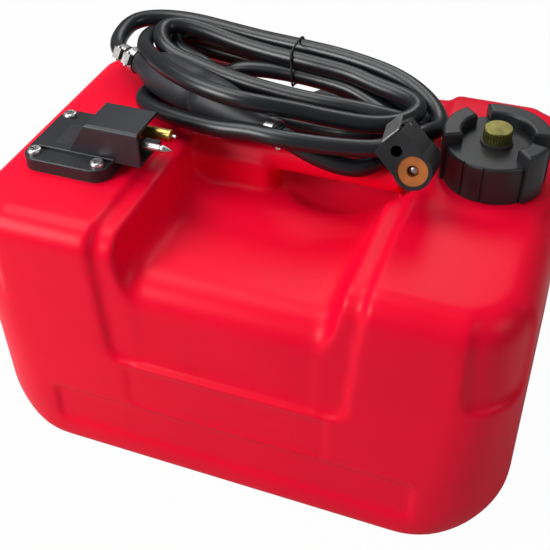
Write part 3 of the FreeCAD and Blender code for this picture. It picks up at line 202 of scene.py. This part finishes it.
def line_length(hose):
    """The length of a hose's middle line, in metres."""
    line = hose.data.copy()
    line.bevel_depth = 0
    places = [vertex.co.copy() for vertex in mesh_of(line).vertices]
    return sum((b - a).length for a, b in zip(places, places[1:]))


print("hose lengths:", round(line_length(engine_hose), 3), round(line_length(tank_hose), 3))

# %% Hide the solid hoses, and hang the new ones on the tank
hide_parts("bulb_lead", "hose_coil", "engine_lead")
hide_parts("tank_lead")
for hose in (engine_hose, tank_hose):
    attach(hose, "tank")
print("hoses ride on the tank")

# %% [markdown]
# ## The tank's skin
#
# A blow-moulded tank has no sharp edge anywhere: the hot plastic is blown against the mould and
# rounds every corner. The solid has crisp lines where the saddle, the recess and the panels meet.
# Sculpting them by hand would drift from the size. Instead a copy is closed at its two openings,
# wrapped in an even skin of small squares, and smoothed a little. The wrap closes off the inside,
# and only the outer skin is kept.

# %% A merged copy of the tank
def merged_copy(node):
    """A solid's mesh with its doubled corners merged."""
    shell = bmesh.new()
    shell.from_mesh(frame["nodes"][node].data)
    bmesh.ops.remove_doubles(shell, verts=shell.verts, dist=1e-6)
    return shell


def new_piece(name, shell, smooth=True):
    """Turns a mesh under construction into an object in the scene."""
    mesh = bpy.data.meshes.new(name)
    shell.to_mesh(mesh)
    shell.free()
    mesh.polygons.foreach_set("use_smooth", [smooth] * len(mesh.polygons))
    piece = bpy.data.objects.new(name, mesh)
    bpy.context.scene.collection.objects.link(piece)
    return piece


tank_copy = merged_copy("tank_body")
neck_middle = at(163, 31, 0)
flange_middle = at(-164, -38, 0)
# each plug: its middle, its radius, and the heights of its two ends
plugs = ((neck_middle, 0.027, 0.2365, 0.2425), (flange_middle, 0.032, 0.2365, 0.2405))
for middle, radius, low, high in plugs:
    plug = Matrix.Translation((middle.x, middle.y, (low + high) / 2))
    bmesh.ops.create_cone(tank_copy, cap_ends=True, segments=48, radius1=radius, radius2=radius,
                          depth=high - low, matrix=plug)
tank_skin = new_piece("tank_skin", tank_copy)
print("faces before the wrap:", len(tank_skin.data.polygons))

# %% [markdown]
# The wrap is Blender's voxel remesh. Its squares are 2.8 mm, fine enough for the shallow panels
# and coarse enough to keep the piece light. It draws an inner skin too, which is left out: the
# outer skin is the widest of the separate parts.

# %% Wrap it, and keep the outer skin
wrap = tank_skin.modifiers.new("wrap", "REMESH")
wrap.mode = "VOXEL"
wrap.voxel_size = 0.0028
wrap.adaptivity = 0.0
wrapped = bpy.data.meshes.new_from_object(
    tank_skin.evaluated_get(bpy.context.evaluated_depsgraph_get()))
skin = bmesh.new()
skin.from_mesh(wrapped)


def whole_parts(shell):
    """The separate parts of a mesh, each as a list of its corners."""
    left = set(shell.verts)
    parts = []
    while left:
        start = left.pop()
        part, edge_of_search = [start], [start]
        while edge_of_search:
            corner = edge_of_search.pop()
            for edge in corner.link_edges:
                other = edge.other_vert(corner)
                if other in left:
                    left.remove(other)
                    part.append(other)
                    edge_of_search.append(other)
        parts.append(part)
    return parts


def width(part):
    return max(corner.co.x for corner in part) - min(corner.co.x for corner in part)


parts = sorted(whole_parts(skin), key=width)
inside = [corner for part in parts[:-1] for corner in part]
bmesh.ops.delete(skin, geom=inside, context="VERTS")
print("parts:", len(parts), "corners kept:", len(skin.verts))

# %% [markdown]
# Each round of smoothing moves a corner towards the middle of its neighbours. The shoulders and
# the saddle get five rounds, and the shallow panels low on the walls only one, or they would
# melt away. The underside stays flat because its corners are left out.

# %% Smooth the skin
# each round smooths only what is higher than this
lowest_in_round = (0.004, 0.122, 0.124, 0.126, 0.128)
for lowest in lowest_in_round:
    bmesh.ops.smooth_vert(skin, verts=[v for v in skin.verts if v.co.z > lowest], factor=0.5,
                          use_axis_x=True, use_axis_y=True, use_axis_z=True)
print("rounds of smoothing:", len(lowest_in_round))

# %% [markdown]
# Where the filler neck stands, the wrap left a blurred stub of the neck and the plug inside it.
# Both are cut away, and the rest takes the old mesh's place.

# %% Cut the blurred neck away
stub_radius, stub_foot = 0.0305, 0.2445
plug_radius, plug_foot = 0.0235, 0.23


def from_neck(place):
    """How far a place is from the filler neck's middle line."""
    return math.hypot(place.x - neck_middle.x, place.y - neck_middle.y)


def is_spare(face):
    middle = face.calc_center_median()
    away = from_neck(middle)
    return ((away < stub_radius and middle.z > stub_foot)
            or (away < plug_radius and middle.z > plug_foot))


spare = [face for face in skin.faces if is_spare(face)]
bmesh.ops.delete(skin, geom=spare, context="FACES")
tank_skin.modifiers.clear()
old_mesh = tank_skin.data
tank_skin.data = bpy.data.meshes.new("tank_skin")
skin.to_mesh(tank_skin.data)
skin.free()
bpy.data.meshes.remove(old_mesh)
tank_skin.data.polygons.foreach_set("use_smooth", [True] * len(tank_skin.data.polygons))
print("squares in the skin:", len(tank_skin.data.polygons))

# %% [markdown]
# The filler neck has a crisp thread for the cap, which the wrap would blur. Its faces are taken
# from the solid as they are.

# %% The threaded neck
neck_reach, neck_foot = 0.034, 0.236
neck = merged_copy("tank_body")
not_neck = [face for face in neck.faces
            if max(from_neck(v.co) for v in face.verts) > neck_reach
            or min(v.co.z for v in face.verts) < neck_foot]
bmesh.ops.delete(neck, geom=not_neck, context="FACES")
filler_neck = new_piece("filler_neck", neck, smooth=False)
for piece in (tank_skin, filler_neck):
    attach(piece, "tank")
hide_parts("tank_body")
print("neck faces:", len(filler_neck.data.polygons))

# %% [markdown]
# ## The primer bulb
#
# The bulb is a squeeze pump: a thick rubber egg with a neck at each end. It is moulded in two
# halves, and a fine line goes round it where they meet. It could be a stretched sphere, but its
# two shoulders differ, so its outline is drawn as a row of points and spun round its own axis.
# The dip at 93 mm is the line where the halves meet.

# %% Spin the bulb
bulb_left = at(-176.3, 77.5, 267.0)
bulb_right = at(-8.1, 10.4, 259.2)
bulb_length = (bulb_right - bulb_left).length * 1000
bulb_outline = [
    (0.0, 6.6), (0.0, 9.9), (0.5, 10.4), (1.2, 10.6), (8.0, 10.6), (15.0, 10.7), (19.0, 11.6),
    (24.0, 13.5), (30.0, 16.0), (36.0, 18.2), (42.0, 19.6), (49.0, 20.3), (58.0, 20.5),
    (75.0, 20.6), (92.4, 20.5), (92.8, 20.0), (93.7, 20.0), (94.1, 20.5), (105.0, 20.4),
    (117.0, 19.9), (128.0, 18.4), (139.0, 16.1), (149.0, 13.6), (157.0, 11.7), (164.0, 10.8),
    (bulb_length - 1.2, 10.6), (bulb_length - 0.5, 10.4), (bulb_length, 9.9),
    (bulb_length, 6.6),
]


def spun(outline):
    """Spins a row of (along, out) points in mm round the X axis."""
    shell = bmesh.new()
    row = [shell.verts.new((along / 1000, 0, out / 1000)) for along, out in outline]
    lines = [shell.edges.new(pair) for pair in zip(row, row[1:])]
    bmesh.ops.spin(shell, geom=row + lines, cent=(0, 0, 0), axis=(1, 0, 0),
                   angle=math.tau, steps=64, use_merge=True)
    bmesh.ops.remove_doubles(shell, verts=shell.verts, dist=1e-7)
    bmesh.ops.recalc_face_normals(shell, faces=shell.faces)
    return shell


def along_line(start, end):
    """The move that takes the X axis to a line from start to end."""
    way = (end - start).normalized()
    return Matrix.Translation(start) @ way.to_track_quat("X", "Z").to_matrix().to_4x4()


bulb = spun(bulb_outline)
bmesh.ops.transform(bulb, matrix=along_line(bulb_left, bulb_right), verts=bulb.verts)
rubber_bulb = new_piece("rubber_bulb", bulb)
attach(rubber_bulb, "tank")
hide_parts("primer_bulb")
print("bulb length in mm:", round(bulb_length, 1))

# %% [markdown]
# ## The tie
#
# A thin black cord is knotted once round the back strands, so the coil keeps its shape. It is
# a closed loop through points close round the strands.

# %% Tie the strands
tie_points = [
    (-33.0, 145.2, 272.0), (-33.5, 143.9, 278.8), (-34.0, 136.5, 280.2), (-33.5, 125.0, 280.9),
    (-33.0, 112.6, 281.1), (-32.0, 104.4, 280.2), (-31.0, 103.3, 272.0), (-30.0, 101.2, 266.0),
    (-29.5, 100.3, 258.9), (-29.0, 100.8, 250.8), (-29.5, 109.0, 250.0), (-30.0, 121.0, 244.0),
    (-31.0, 133.0, 237.7), (-31.5, 142.0, 238.4), (-32.0, 142.6, 246.5), (-32.5, 145.4, 259.0),
]
tie_curve = bpy.data.curves.new("tie", "CURVE")
tie_curve.dimensions = "3D"
tie_curve.resolution_u = 8
tie_curve.bevel_depth = 0.0010
tie_curve.bevel_resolution = 3
drawn_spline(tie_curve, tie_points).use_cyclic_u = True
tie_mesh = mesh_of(tie_curve)
tie_mesh.name = "strand_tie"
strand_tie = bpy.data.objects.new("strand_tie", tie_mesh)
bpy.context.scene.collection.objects.link(strand_tie)
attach(strand_tie, "tank")
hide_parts("coil_tie")
print("tie faces:", len(tie_mesh.polygons))

# %% [markdown]
# ## The latch
#
# The connector for the engine locks with a sprung lever of bent sheet steel. At rest its tail
# stands up, and pushing it down lifts the hook out of the groove of the guide pin. The solid's
# lever lies level, which hides it behind the connector, so a lever with a raised tail is built
# on the same pin. Each of its parts is a plain box or rod, placed in the connector's own frame:
# X to the hose and Z from the fuel port to the guide hole.

# %% The connector's own frame
connector_x = Vector((-0.01, 0.955, -0.296)).normalized()
connector_z = Vector((-0.728, 0.3, 0.616))
connector_z = (connector_z - connector_x * connector_z.dot(connector_x)).normalized()
connector_y = connector_z.cross(connector_x)
connector_turn = Matrix((connector_x, connector_y, connector_z)).transposed().to_4x4()
connector_place = Matrix.Translation(at(113.5, -38.0, 282.7)) @ connector_turn
print("connector's X:", tuple(round(part, 3) for part in connector_x))

# %% Bend the latch
tail_angle = math.radians(10)
hinge_x, hinge_z, hinge_radius = 24.0, 26.8, 2.4
cheek_width, cheek_top = 3.0, 33.9
latch = bmesh.new()


def latch_box(low, high, turn=Matrix()):
    """A box with slightly rounded edges, between two corners in mm."""
    low, high = Vector(low) / 1000, Vector(high) / 1000
    size = Matrix.Diagonal(high - low).to_4x4()
    made = bmesh.ops.create_cube(latch, size=1.0,
                                 matrix=turn @ Matrix.Translation((low + high) / 2) @ size)
    edges = {edge for corner in made["verts"] for edge in corner.link_edges}
    bmesh.ops.bevel(latch, geom=list(edges), offset=0.00035, segments=2, affect="EDGES",
                    profile=0.5)


# the plate with its raised tail, and the hook
tail_up = Matrix.Translation((0.003, 0, 0.0298)) @ Matrix.Rotation(-tail_angle, 4, "Y")
latch_box((0.0, -10.6, 0.0), (33.0, 5.4, 1.4), tail_up)
latch_box((13.0, -4.0, 23.8), (14.6, 4.0, 32.2))
# two cheeks with a round foot, which sit on the pin
for side in (-8.0, 2.4):
    latch_box((hinge_x - hinge_radius, side, hinge_z),
              (hinge_x + hinge_radius, side + cheek_width, cheek_top))
    foot_middle = Vector((hinge_x, side + cheek_width / 2, hinge_z)) / 1000
    foot_place = Matrix.Translation(foot_middle) @ Matrix.Rotation(math.pi / 2, 4, "X")
    bmesh.ops.create_cone(latch, cap_ends=True, segments=32, radius1=hinge_radius / 1000,
                          radius2=hinge_radius / 1000, depth=cheek_width / 1000,
                          matrix=foot_place)
bmesh.ops.transform(latch, matrix=connector_place, verts=latch.verts)
bmesh.ops.recalc_face_normals(latch, faces=latch.faces)
bent_latch = new_piece("bent_latch", latch, smooth=False)
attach(bent_latch, "engine_latch")
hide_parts("engine_latch_lever")
print("latch faces:", len(bent_latch.data.polygons))

# %% [markdown]
# ## Finishes
#
# No real surface has one even colour. Each finish here starts from one base colour, drifts a
# little between a darker and a lighter shade, changes its gloss in patches, and has a fine
# grain in its relief. All patterns are worked out from the place on the object, so they need no
# pictures.

# %% A helper for a worked finish
def finish(name, colour, rough, metal=0.0, drift=0.12, drift_scale=14.0, rough_drift=0.08,
           grain=0.05, grain_scale=900.0, grain_depth=0.0002, shine=0.5):
    """A surface whose colour drifts, whose gloss changes in patches, and which has a grain."""
    material = bpy.data.materials.new(name)
    material.use_nodes = True
    nodes, links = material.node_tree.nodes, material.node_tree.links
    shader = nodes["Principled BSDF"]
    shader.inputs["Metallic"].default_value = metal
    shader.inputs["Specular IOR Level"].default_value = shine
    place = nodes.new("ShaderNodeTexCoord")
    clouds = nodes.new("ShaderNodeTexNoise")
    clouds.inputs["Scale"].default_value = drift_scale
    clouds.inputs["Detail"].default_value = 5.0
    links.new(place.outputs["Object"], clouds.inputs["Vector"])
    shades = nodes.new("ShaderNodeValToRGB")
    shades.color_ramp.elements[0].position = 0.3
    shades.color_ramp.elements[1].position = 0.7
    shades.color_ramp.elements[0].color = [c * (1 - drift) for c in colour] + [1]
    shades.color_ramp.elements[1].color = [min(1, c * (1 + drift)) for c in colour] + [1]
    links.new(clouds.outputs["Fac"], shades.inputs["Fac"])
    links.new(shades.outputs["Color"], shader.inputs["Base Color"])
    gloss = nodes.new("ShaderNodeMapRange")
    gloss.inputs["To Min"].default_value = rough - rough_drift
    gloss.inputs["To Max"].default_value = rough + rough_drift
    links.new(clouds.outputs["Fac"], gloss.inputs["Value"])
    links.new(gloss.outputs["Result"], shader.inputs["Roughness"])
    pits = nodes.new("ShaderNodeTexNoise")
    pits.inputs["Scale"].default_value = grain_scale
    pits.inputs["Detail"].default_value = 3.0
    links.new(place.outputs["Object"], pits.inputs["Vector"])
    relief = nodes.new("ShaderNodeBump")
    relief.inputs["Strength"].default_value = grain
    relief.inputs["Distance"].default_value = grain_depth
    links.new(pits.outputs["Fac"], relief.inputs["Height"])
    links.new(relief.outputs["Normal"], shader.inputs["Normal"])
    return material


# %% [markdown]
# The tank is dyed polyethylene. It is bright, waxy and a little uneven, with a broad soft shine.
# The cap, the flange and the connectors are nylon or acetal with a satin face. The hose is
# smooth and shows long lines of light, and the bulb is duller. The metal parts are cast, turned
# or bent, each with its own grain.

# %% Mix the finishes
finishes = {
    "tank_red": finish("tank_red", (0.82, 0.0008, 0.026), rough=0.37, drift=0.05, drift_scale=9.0,
                       rough_drift=0.05, grain=0.10, grain_scale=260.0, grain_depth=0.0006,
                       shine=0.13),
    "cap_black": finish("cap_black", (0.014, 0.015, 0.017), rough=0.42, drift=0.3,
                        drift_scale=40.0, grain=0.16, grain_scale=700.0,
                        grain_depth=0.0004, shine=0.42),
    "flange_black": finish("flange_black", (0.015, 0.016, 0.020), rough=0.40, drift=0.25,
                           grain=0.14, grain_scale=650.0, grain_depth=0.0004, shine=0.42),
    "hose_rubber": finish("hose_rubber", (0.007, 0.008, 0.010), rough=0.33, drift=0.3,
                          drift_scale=22.0, rough_drift=0.06, grain=0.05, grain_scale=420.0,
                          grain_depth=0.0005),
    "bulb_rubber": finish("bulb_rubber", (0.020, 0.021, 0.025), rough=0.5, drift=0.2, grain=0.2,
                          grain_scale=800.0, grain_depth=0.0004, shine=0.4),
    "seal_rubber": finish("seal_rubber", (0.02, 0.02, 0.021), rough=0.6, grain=0.1),
    "orange_seal": finish("orange_seal", (0.40, 0.13, 0.030), rough=0.5, drift=0.25,
                          drift_scale=60.0, shine=0.3),
    "brass": finish("brass", (0.50, 0.37, 0.11), rough=0.34, metal=1.0, drift=0.3,
                    drift_scale=90.0, rough_drift=0.08, grain=0.05, grain_scale=600.0),
    "old_brass": finish("old_brass", (0.24, 0.22, 0.070), rough=0.48, metal=1.0, drift=0.35,
                        drift_scale=120.0, rough_drift=0.1, grain=0.2, grain_scale=500.0),
    "steel": finish("steel", (0.55, 0.55, 0.54), rough=0.34, metal=1.0, drift=0.15,
                    drift_scale=120.0, grain=0.04, grain_scale=600.0),
    "drum_white": finish("drum_white", (0.70, 0.70, 0.66), rough=0.45, drift=0.05),
    "float_foam": finish("float_foam", (0.03, 0.03, 0.032), rough=0.75, grain=0.5,
                         grain_scale=420.0, grain_depth=0.0008),
    "nylon": finish("nylon", (0.012, 0.012, 0.014), rough=0.5, grain=0.2, grain_scale=600.0),
    "copper_wire": finish("copper_wire", (0.72, 0.33, 0.18), rough=0.3, metal=1.0, drift=0.2,
                          drift_scale=200.0),
}
print("finishes:", len(finishes))

# %% [markdown]
# The gauge's window is smoked plastic. Some of the light passes through it to the drum below.

# %% The window
window = finish("clear_plastic", (0.06, 0.06, 0.065), rough=0.22, drift=0.1, rough_drift=0.05)
window_shader = window.node_tree.nodes["Principled BSDF"]
window_shader.inputs["Transmission Weight"].default_value = 0.4
window_shader.inputs["IOR"].default_value = 1.49
finishes["clear_plastic"] = window
print("window:", window.name)

# %% [markdown]
# Each solid names the finish it is made in. Three take another one: the two latch springs are of
# copper-coated wire, and the vent knob has gone dull. The new pieces are painted after them.

# %% Paint every piece
def paint(piece, material):
    """Gives a piece one finish all over."""
    piece.data.materials.clear()
    piece.data.materials.append(material)


own_finish = {"vent_knob": "old_brass", "engine_latch_spring": "copper_wire",
              "tank_latch_spring": "copper_wire"}
slot_of = {part["node"]: part["material_slot"] for part in frame["record"]["subparts"]}
for node, piece in frame["nodes"].items():
    wanted = own_finish.get(node, slot_of[node])
    for socket in piece.material_slots:
        socket.material = finishes[wanted]
new_pieces = ((engine_hose, "hose_rubber"), (tank_hose, "hose_rubber"),
              (tank_skin, "tank_red"), (filler_neck, "tank_red"),
              (rubber_bulb, "bulb_rubber"), (strand_tie, "nylon"), (bent_latch, "steel"))
for piece, wanted in new_pieces:
    paint(piece, finishes[wanted])
print("painted", len(frame["nodes"]) + len(new_pieces), "pieces")

# %% [markdown]
# ## Floor and light
#
# The tank stands on a plain pale floor in soft light. One broad lamp hangs over its left half
# and another stands near its front left corner, so the front darkens to the right. A weaker one
# behind draws the long lines on the hose, and the last keeps the right end from going dark.
# The camera sees the floor as nearly plain white, with a trace of the tank's shadow, and the sky
# as a pale grey. What both throw on the tank is softer than that.

# %% Floor
floor_half = 6.0
white_share = 0.98
floor_shell = bmesh.new()
bmesh.ops.create_grid(floor_shell, x_segments=1, y_segments=1, size=floor_half)
floor = new_piece("floor", floor_shell, smooth=False)
floor_finish = bpy.data.materials.new("floor_white")
floor_finish.use_nodes = True
floor_nodes = floor_finish.node_tree.nodes
floor_links = floor_finish.node_tree.links
floor_shader = floor_nodes["Principled BSDF"]
floor_shader.inputs["Base Color"].default_value = (0.5, 0.5, 0.5, 1)
floor_shader.inputs["Roughness"].default_value = 0.8
floor_glow = floor_nodes.new("ShaderNodeEmission")
floor_glow.inputs["Strength"].default_value = 1.0
floor_rays = floor_nodes.new("ShaderNodeLightPath")
floor_share = floor_nodes.new("ShaderNodeMath")
floor_share.operation = "MULTIPLY"
floor_share.inputs[1].default_value = white_share
floor_mix = floor_nodes.new("ShaderNodeMixShader")
floor_links.new(floor_rays.outputs["Is Camera Ray"], floor_share.inputs[0])
floor_links.new(floor_share.outputs["Value"], floor_mix.inputs["Fac"])
floor_links.new(floor_shader.outputs["BSDF"], floor_mix.inputs[1])
floor_links.new(floor_glow.outputs["Emission"], floor_mix.inputs[2])
floor_links.new(floor_mix.outputs["Shader"], floor_nodes["Material Output"].inputs["Surface"])
paint(floor, floor_finish)
print("floor is", 2 * floor_half, "m wide")

# %% Lamps
def lamp(name, place, target, size, power):
    """A round soft lamp at a place, turned to a target."""
    data = bpy.data.lights.new(name, "AREA")
    data.shape = "DISK"
    data.size = size
    data.energy = power
    light = bpy.data.objects.new(name, data)
    light.location = place
    light.rotation_euler = (Vector(target) - Vector(place)).to_track_quat("-Z", "Y").to_euler()
    bpy.context.scene.collection.objects.link(light)


lamp("above_left", (-0.7, 0.1, 1.55), target=(0, 0, 0.2), size=1.0, power=12.5)
lamp("front_left", (-0.95, -0.95, 0.9), target=(-0.05, -0.1, 0.12), size=0.7, power=18.0)
lamp("back", (-0.2, 1.1, 1.35), target=(0, 0, 0.25), size=0.8, power=6.0)
lamp("right", (1.3, -0.35, 0.95), target=(0.1, 0, 0.15), size=0.7, power=3.5)
print("four lamps")

# %% Sky
world = bpy.data.worlds.new("sky")
bpy.context.scene.world = world
world.use_nodes = True
sky_nodes, sky_links = world.node_tree.nodes, world.node_tree.links
sky_light = sky_nodes["Background"]
sky_light.inputs["Color"].default_value = (1, 1, 1, 1)
sky_light.inputs["Strength"].default_value = 0.2
sky_seen = sky_nodes.new("ShaderNodeBackground")
sky_seen.inputs["Strength"].default_value = 1.0
sky_rays = sky_nodes.new("ShaderNodeLightPath")
sky_mix = sky_nodes.new("ShaderNodeMixShader")
sky_links.new(sky_rays.outputs["Is Camera Ray"], sky_mix.inputs["Fac"])
sky_links.new(sky_light.outputs["Background"], sky_mix.inputs[1])
sky_links.new(sky_seen.outputs["Background"], sky_mix.inputs[2])
sky_links.new(sky_mix.outputs["Shader"], sky_nodes["World Output"].inputs["Surface"])
bpy.context.scene.view_settings.view_transform = "Standard"
print("sky strength 0.2")
